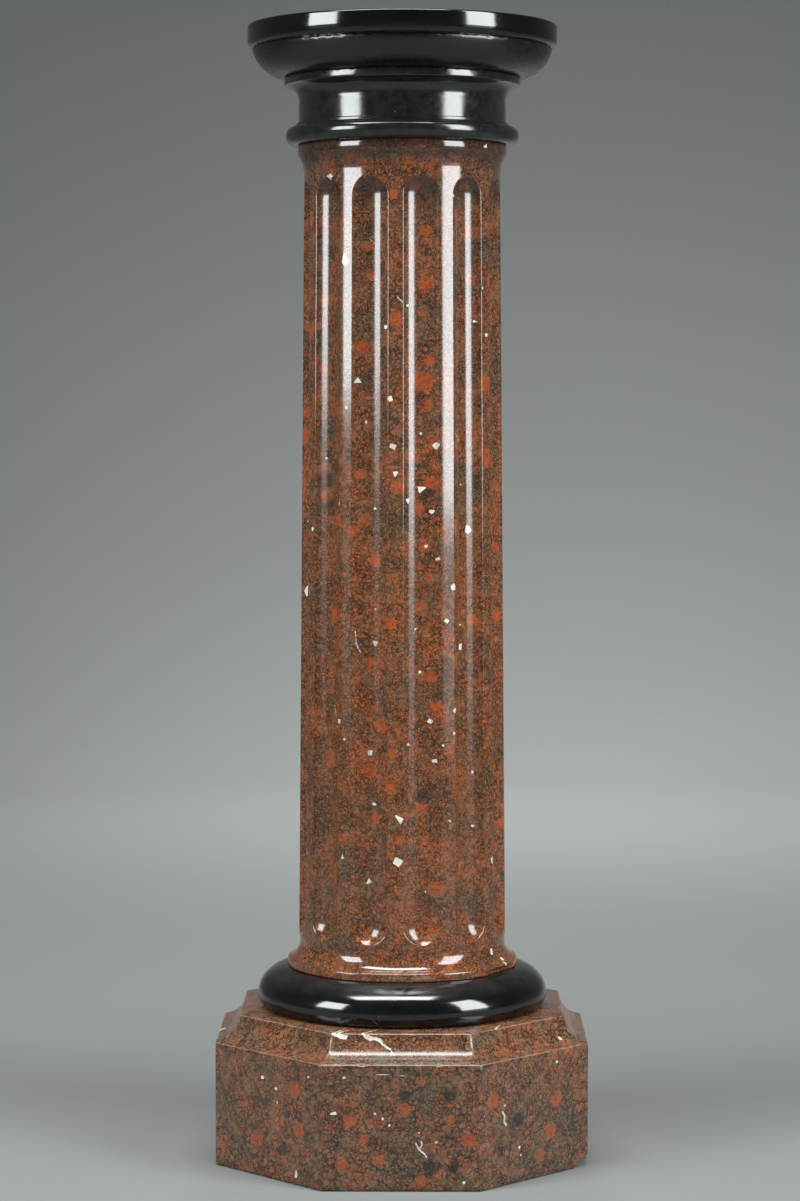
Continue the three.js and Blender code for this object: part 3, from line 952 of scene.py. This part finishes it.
def top_form():
    slab_foot = top_high.z - SLAB_HEIGHT
    shoulder = (ECHINUS_UPPER_RADIUS, slab_foot - ECHINUS_SHOULDER)
    quirk = (ECHINUS_UPPER_RADIUS - ECHINUS_SHOULDER_INSET, slab_foot)
    rim_foot = (SLAB_RADIUS, slab_foot + SLAB_LOWER_ARRIS)
    rim_head = (SLAB_RADIUS, top_high.z - SLAB_UPPER_ARRIS)
    rim_middle = (SLAB_RADIUS, (rim_foot[1] + rim_head[1]) / 2)
    bm = turned(
        [
            *arc((ECHINUS_LOWER_RADIUS, top_low.z), shoulder, ECHINUS_BULGE, ECHINUS_STEPS),
            *arc(shoulder, quirk, ECHINUS_SHOULDER / 4, 2 * ARRIS_STEPS)[1:],
            *arc((SLAB_RADIUS - SLAB_LOWER_ARRIS, slab_foot), rim_foot, SLAB_LOWER_BULGE, ARRIS_STEPS),
            rim_middle,
            *arc(
                rim_head,
                (SLAB_RADIUS - SLAB_UPPER_ARRIS, top_high.z),
                quarter_round(SLAB_UPPER_ARRIS),
                2 * ARRIS_STEPS,
            ),
        ],
        CAPITAL_STEPS,
    )
    worn = marks_layer(bm, "worn")
    for v in bm.verts:
        out = outward(bearing(v.co))
        radius = v.co.xy.length
        at_shoulder = shoulder[1] < v.co.z < slab_foot and radius > quirk[0] + WELD
        at_rim = v.co.z > rim_head[1] + WELD and radius > SLAB_RADIUS - SLAB_UPPER_ARRIS + WELD
        if at_shoulder:
            nick = nicked(v.co, *SHOULDER_NICKS)
            v.co -= out * nick * SHOULDER_NICK_DEPTH
            v[worn] = FAR - nick * (FAR + SHOULDER_WORN)
        if at_rim:
            nick = nicked(v.co, *RIM_NICKS)
            v.co -= out * nick * RIM_NICK_DEPTH + Vector((0, 0, nick * RIM_NICK_DROP))
            v[worn] = FAR - nick * FAR
        # A flake has come off the bowl on the right.
        aside = (bearing(v.co) - SCAR_BEARING) / SCAR_DEGREES
        from_scar = math.hypot(aside, (v.co.z - SCAR_HEIGHT) / SCAR_RISE)
        if from_scar < SCAR_REACH and v.co.z < slab_foot - WELD and radius > ECHINUS_LOWER_RADIUS + WELD:
            edge = varied(v.co, *SCAR_EDGE)
            v.co -= out * (1 - ease(from_scar, edge - SCAR_SLOPE[0], edge + SCAR_SLOPE[1])) * SCAR_DEPTH
    return bm


class Socket:
    """An output of a shader node. Arithmetic on it adds Math nodes."""

    def __init__(self, finish, output):
        self.finish = finish
        self.output = output

    def math(self, operation, first, second):
        return self.finish.add("ShaderNodeMath", {"operation": operation}, {0: first, 1: second})

    def __add__(self, other):
        return self.math("ADD", self, other)

    def __radd__(self, other):
        return self.math("ADD", other, self)

    def __sub__(self, other):
        return self.math("SUBTRACT", self, other)

    def __rsub__(self, other):
        return self.math("SUBTRACT", other, self)

    def __mul__(self, other):
        return self.math("MULTIPLY", self, other)

    def __rmul__(self, other):
        return self.math("MULTIPLY", other, self)


class Finish:
    """A material in the making. One method adds any node."""

    def __init__(self, name):
        self.material = bpy.data.materials.new(name)
        self.material.use_nodes = True
        self.tree = self.material.node_tree
        self.tree.nodes.clear()
        self.place = self.add("ShaderNodeTexCoord", output="Object")

    def add(self, kind, settings=None, inputs=None, output=0):
        node = self.tree.nodes.new(kind)
        for key, value in (settings or {}).items():
            if key == "stops":
                elements = node.color_ramp.elements
                while len(elements) < len(value):
                    elements.new(1)
                for element, (position, colour) in zip(elements, value):
                    element.position = position
                    element.color = (*colour, 1)
            else:
                setattr(node, key, value)
        for key, value in (inputs or {}).items():
            if isinstance(value, Socket):
                self.tree.links.new(value.output, node.inputs[key])
            elif isinstance(value, tuple) and node.inputs[key].type == "RGBA":
                node.inputs[key].default_value = (*value, 1)
            else:
                node.inputs[key].default_value = value
        return Socket(self, node.outputs[output]) if len(node.outputs) else None

    def noise(self, size, place=None, detail=2, roughness=0.5, output="Fac"):
        return self.add(
            "ShaderNodeTexNoise",
            {"noise_dimensions": "3D"},
            {"Vector": place or self.place, "Scale": 1 / size, "Detail": detail, "Roughness": roughness},
            output,
        )

    def cells(self, size, place=None, feature="F1", output="Distance"):
        return self.add(
            "ShaderNodeTexVoronoi",
            {"voronoi_dimensions": "3D", "feature": feature},
            {"Vector": place or self.place, "Scale": 1 / size},
            output,
        )

    def pick(self, colour, channel=0):
        """One random number from a cell's colour."""
        return self.add("ShaderNodeSeparateColor", None, {"Color": colour}, channel)

    def also(self, socket, output):
        """Another output of a node that is there already."""
        return Socket(self, socket.output.node.outputs[output])

    def mark(self, name):
        """The distance kept on the mesh under a name."""
        return self.add("ShaderNodeAttribute", {"attribute_name": name}, None, "Fac")

    def mix(self, share, first, second, blend="MIX"):
        return self.add(
            "ShaderNodeMix",
            {"data_type": "RGBA", "blend_type": blend, "clamp_factor": True},
            {0: share, 6: first, 7: second},
            2,
        )

    def ramp(self, share, stops):
        return self.add("ShaderNodeValToRGB", {"stops": stops}, {"Fac": share}, "Color")

    def smooth(self, value, low, high):
        """0 at low, 1 at high, smooth between."""
        return self.add(
            "ShaderNodeMapRange",
            {"interpolation_type": "SMOOTHSTEP"},
            {"Value": value, "From Min": low, "From Max": high, "To Min": 0.0, "To Max": 1.0},
        )

    def part(self, vector, axis):
        """One part of a vector."""
        return self.add("ShaderNodeSeparateXYZ", None, {"Vector": vector}, axis)

    def pushed(self, place, size, amount):
        """A place pushed about by noise, so that cells lose their straight sides."""
        push = self.add(
            "ShaderNodeVectorMath",
            {"operation": "SUBTRACT"},
            {0: self.noise(size, place, output="Color"), 1: (0.5, 0.5, 0.5)},
        )
        scaled = self.add("ShaderNodeVectorMath", {"operation": "SCALE"}, {0: push, "Scale": amount})
        return self.add("ShaderNodeVectorMath", {"operation": "ADD"}, {0: place, 1: scaled})

    def surface(self, colour, roughness, ior, bump=None, bump_depth=0.0):
        inputs = {"Base Color": colour, "Roughness": roughness, "IOR": ior}
        if bump is not None:
            heights = {"Height": bump, "Distance": bump_depth}
            inputs["Normal"] = self.add("ShaderNodeBump", None, heights, "Normal")
        shader = self.add("ShaderNodeBsdfPrincipled", None, inputs)
        self.add("ShaderNodeOutputMaterial", None, {"Surface": shader})
        return self.material


def red_scagliola(name, cell, drift_size, tints_and_shade, patch, gloss):
    """Pebbly brick-red stuff with dark crackle, red clasts, murky places, dark patches and white chips."""
    f = Finish(name)
    place = f.pushed(f.pushed(f.place, 10 * MM, 8 * MM), 3 * MM, 2.4 * MM)
    pebble = f.cells(cell, place, output="Color")
    edge = f.cells(cell, place, "DISTANCE_TO_EDGE")
    colour = f.ramp(f.pick(pebble), PEBBLE_COLOURS)

    # Broader drifts of redder and browner ground.
    drift = f.smooth(f.noise(drift_size, detail=3), 0.38, 0.62)
    colour = f.mix(0.55, colour, f.mix(drift, BROWN_GROUND, RED_GROUND))
    olive = f.smooth(f.noise(15 * MM, detail=2), 0.55, 0.68)
    colour = f.mix(olive * 0.35, colour, OLIVE_GROUND)

    # Red clasts: the larger ones where they are seen, smaller ones everywhere.
    wander = f.noise(6 * MM, detail=3)
    shade = f.noise(9 * MM, detail=2)
    small = f.cells(11 * MM, place)
    is_small = f.smooth(f.pick(f.also(small, "Color"), 1), 0.68, 0.70) * (1 - f.smooth(small, 0.24, 0.40))
    is_large = 1 - f.smooth(f.mark("red") + 7.0 * (wander - 0.5), -2.0, 0.4)
    red = f.mix(shade, DEEP_CLAST, BRIGHT_CLAST)
    colour = f.mix(is_small * 0.55, colour, red)
    colour = f.mix(is_large * 0.85, colour, red)

    # Murky grey-green places and blue-black patches.
    murk = f.smooth(f.noise(1.2 * drift_size, detail=4, roughness=0.65), 0.50, 0.66)
    colour = f.mix(murk * 0.6, colour, MURKY_GROUND)
    is_dark = 1 - f.smooth(f.mark("dark") + 15.0 * (wander - 0.5), -2.5, 1.5)
    colour = f.mix(is_dark * patch, colour, BLUE_BLACK)

    # Fine grain and dark crackle.
    grain = f.cells(1.9 * MM, place)
    colour = f.mix(0.68, colour, f.ramp(f.pick(f.also(grain, "Color")), GRAIN_TONES), "MULTIPLY")
    crack = (1 - f.smooth(edge, 0.03, 0.13)) * f.smooth(f.noise(16 * MM, detail=4), 0.38, 0.58)
    wriggle = f.noise(1.5 * cell, detail=3, roughness=0.55) - 0.5
    wriggle = 1 - f.smooth(wriggle * wriggle, 0.00004, 0.0007)
    fine_crack = f.smooth(grain, 0.42, 0.70) * (0.32 + 0.35 * murk)
    between = 1 - 0.8 * is_large
    colour = f.mix(crack * between * 0.8, colour, CRACKLE)
    colour = f.mix(wriggle * between * 0.85, colour, CRACKLE)
    colour = f.mix(fine_crack * between, colour, FINE_CRACKLE)
    height = f.part(f.place, "Z")
    # Painted shade: on the shaft the tints darken the colour towards its head.
    tint_and_shade = f.mix(f.smooth(height + 0.1 * shade, *SHADE_TINT_HEIGHTS), *tints_and_shade)
    colour = f.mix(1.0, colour, tint_and_shade, "MULTIPLY")
    # Painted shade in the upper ends of the flutes and on the flare under the top fillet.
    colour = f.mix(f.mark("grime") * (0.35 + 0.5 * shade), colour, PAINTED_SHADE_COLOUR)

    # White chips and veins, and tiny pale grains.
    is_chip = 1 - f.smooth(f.mark("white") + 0.7 * (f.noise(2.4 * MM, detail=1) - 0.5), -0.15, 0.15)
    chip_colour = f.mix(f.smooth(shade, 0.35, 0.65), GREY_CHIP, WHITE_CHIP)
    colour = f.mix(is_chip, colour, chip_colour)
    speck = f.cells(2.7 * MM)
    is_speck = f.smooth(f.pick(f.also(speck, "Color"), 2), 0.93, 0.94) * (1 - f.smooth(speck, 0.14, 0.22))
    colour = f.mix(is_speck * 0.5, colour, PALE_GRAIN)

    # Rubbed places on the plinth have lost their polish and gone pale. On the foot of the shaft the same
    # pale colour is a painted reflection.
    wear_and_sheen_share = (1 - f.smooth(f.mark("worn") + 5.0 * (f.noise(4 * MM, detail=3) - 0.5), -0.6, 0.8)) * 0.4
    colour = f.mix(wear_and_sheen_share, colour, RUBBED_STONE_AND_SHEEN)
    in_flute = f.smooth(f.mark("hollow"), 0.6, 3.0)
    rough = gloss + 0.04 * shade + 0.22 * wear_and_sheen_share + 0.06 * in_flute
    return f.surface(colour, rough, SCAGLIOLA_IOR)


def black_marble(name, smear, film_tone, dust=1.0, dull_below=0.0):
    """Black polished stone with a film of dirt, dust where it faces up, pale specks and broken arrises."""
    f = Finish(name)
    cloud = f.noise(22 * MM, detail=3)
    film = 0.3 + 0.7 * f.smooth(f.noise(14 * MM, detail=6, roughness=0.8), 0.34, 0.66)
    colour = f.mix(cloud, DEEP_BLACK, CLOUDED_BLACK)
    colour = f.mix(film * smear, colour, (film_tone, 1.04 * film_tone, 1.02 * film_tone))
    facing = f.add("ShaderNodeNewGeometry", output="Normal")
    facing_up = f.smooth(f.part(facing, "Z"), 0.5, 0.95)
    settled = facing_up * f.smooth(f.noise(45 * MM, detail=5, roughness=0.65), 0.30, 0.75)
    colour = f.mix(settled * 0.7, colour, DUST)
    speck = f.cells(5 * MM)
    is_speck = f.smooth(f.pick(f.also(speck, "Color"), 1), 0.92, 0.93) * (1 - f.smooth(speck, 0.05, 0.09))
    colour = f.mix(is_speck * dust, colour, DUST_SPECK)
    wear_and_sheen_share = 1 - f.smooth(f.mark("worn") + 3.0 * (f.noise(2.5 * MM, detail=3) - 0.5), -0.6, 0.6)
    colour = f.mix(wear_and_sheen_share * 0.6, colour, BROKEN_ARRIS)
    height = f.part(f.place, "Z")
    is_dull = 1 - f.smooth(height, dull_below - 1 * MM, dull_below)
    rough = BLACK_GLOSS + 0.08 * cloud + 0.10 * smear * film
    rough = rough + 0.30 * wear_and_sheen_share + 0.18 * is_dull + 0.14 * settled
    return f.surface(colour, rough, MARBLE_IOR, f.noise(1.6 * MM, detail=2), GRAIN_DEPTH)


def studio_paper(name):
    f = Finish(name)
    colour = f.ramp(f.noise(400 * MM, detail=1), PAPER_TONES)
    return f.surface(colour, PAPER_ROUGHNESS, PAPER_IOR)


def set_camera():
    data = bpy.data.cameras.new("photo_camera")
    data.sensor_fit = "AUTO"
    data.sensor_width = SENSOR
    data.lens = CAMERA_FOCAL_PIXELS * SENSOR / FRAME_HEIGHT
    data.clip_end = CAMERA_CLIP
    camera = bpy.data.objects.new("photo_camera", data)
    bpy.context.scene.collection.objects.link(camera)
    camera.location = (
        CAMERA_DISTANCE * math.sin(CAMERA_TURN),
        -CAMERA_DISTANCE * math.cos(CAMERA_TURN),
        CAMERA_HEIGHT,
    )
    camera.rotation_euler = (math.pi / 2 - CAMERA_PITCH, 0, CAMERA_TURN + CAMERA_PAN)
    bpy.context.scene.camera = camera


def box_light(name, place, aim, width, height, power, spread=math.pi, colour=(1, 1, 1)):
    data = bpy.data.lights.new(name, "AREA")
    data.shape = "RECTANGLE"
    data.spread = spread
    data.size = width
    data.size_y = height
    data.energy = power
    data.color = colour
    light = bpy.data.objects.new(name, data)
    bpy.context.scene.collection.objects.link(light)
    light.location = place
    light.rotation_euler = (Vector(aim) - Vector(place)).to_track_quat("-Z", "Y").to_euler()
    light.visible_camera = False
    return light


def set_studio():
    """A round seamless paper sweep, two tall side boxes, an overhead box and lamps behind."""
    bm = bmesh.new()
    cove_end = (SWEEP_FLOOR + SWEEP_COVE, SWEEP_COVE)
    outline = [(0, 0), *arc((SWEEP_FLOOR, 0), cove_end, quarter_round(SWEEP_COVE), SWEEP_COVE_STEPS)]
    outline.append((cove_end[0], SWEEP_HEIGHT))
    chain = [bm.verts.new((0, -radius, height)) for radius, height in outline]
    edges = [bm.edges.new(pair) for pair in zip(chain, chain[1:])]
    bmesh.ops.spin(
        bm,
        geom=chain + edges,
        cent=(0, 0, 0),
        axis=(0, 0, 1),
        angle=2 * math.pi,
        steps=SWEEP_STEPS,
        use_merge=True,
    )
    bmesh.ops.remove_doubles(bm, verts=bm.verts, dist=WELD)
    bmesh.ops.recalc_face_normals(bm, faces=bm.faces)
    mesh = bpy.data.meshes.new("paper_sweep")
    for face in bm.faces:
        face.smooth = True
    bm.to_mesh(mesh)
    bm.free()
    sweep = bpy.data.objects.new("paper_sweep", mesh)
    bpy.context.scene.collection.objects.link(sweep)
    mesh.materials.append(studio_paper("studio_paper"))

    sides = (
        ("left", -SIDE_AZIMUTH, SIDE_LEFT_LOW, SIDE_LEFT_TOP, SKIRT_LEFT_RADIANCE),
        ("right", SIDE_AZIMUTH, SIDE_RIGHT_LOW, SIDE_RIGHT_TOP, SKIRT_RIGHT_RADIANCE),
    )
    for name, azimuth, low, top, skirt_radiance in sides:
        spans = (("box", low, top, SIDE_RADIANCE), ("skirt", SKIRT_LOW, low, skirt_radiance))
        for part, foot, head, radiance in spans:
            middle = Vector((0, 0, (foot + head) / 2))
            power = radiance * math.pi * SIDE_WIDTH * (head - foot)
            place = outward(azimuth) * SIDE_DISTANCE + middle
            box_light(f"{name}_{part}", place, middle, SIDE_WIDTH, head - foot, power, colour=SIDE_COLOUR)
    box_light("overhead_box", OVERHEAD_PLACE, OVERHEAD_AIM, OVERHEAD_WIDTH, OVERHEAD_DEPTH, OVERHEAD_POWER)
    lamps = (("floor_lamp", FLOOR_LAMP), ("rear_lamp", REAR_LAMP), ("backdrop_lamp", BACKDROP_LAMP))
    for name, (place, aim, size, power, spread) in lamps:
        lamp = box_light(name, place, aim, size, size, power, spread)
        # These fill in the dark and leave no highlights on the stone.
        lamp.visible_glossy = False

    world = bpy.data.worlds.new("studio_air")
    bpy.context.scene.world = world
    world.use_nodes = True
    background = world.node_tree.nodes["Background"]
    background.inputs["Color"].default_value = AIR_COLOUR
    background.inputs["Strength"].default_value = AIR_STRENGTH
    bpy.context.scene.view_settings.view_transform = "Standard"


set_camera()
set_studio()
shaft_stuff = red_scagliola(
    "shaft_scagliola", cell=4.0 * MM, drift_size=34 * MM, tints_and_shade=SHAFT_TINTS_AND_SHADE, patch=0.5, gloss=0.08
)
plinth_stuff = red_scagliola(
    "plinth_scagliola", cell=5.6 * MM, drift_size=46 * MM, tints_and_shade=PLINTH_TINTS, patch=0.78, gloss=0.19
)
ring_stuff = black_marble("ring_marble", smear=0.25, film_tone=0.014)
neck_stuff = black_marble("neck_marble", smear=0.9, film_tone=0.016)
top_stuff = black_marble(
    "top_marble", smear=0.1, film_tone=0.012, dust=0.6, dull_below=top_high.z - SLAB_HEIGHT
)
finished("plinth_block", plinth_form(), plinth_stuff, "plinth")
finished("ring_of_base", ring_form(), ring_stuff, "base_ring")
finished("fluted_shaft", shaft_form(), shaft_stuff, "shaft")
finished("neck_of_capital", neck_form(), neck_stuff, "capital_neck")
finished("top_of_capital", top_form(), top_stuff, "capital_top")
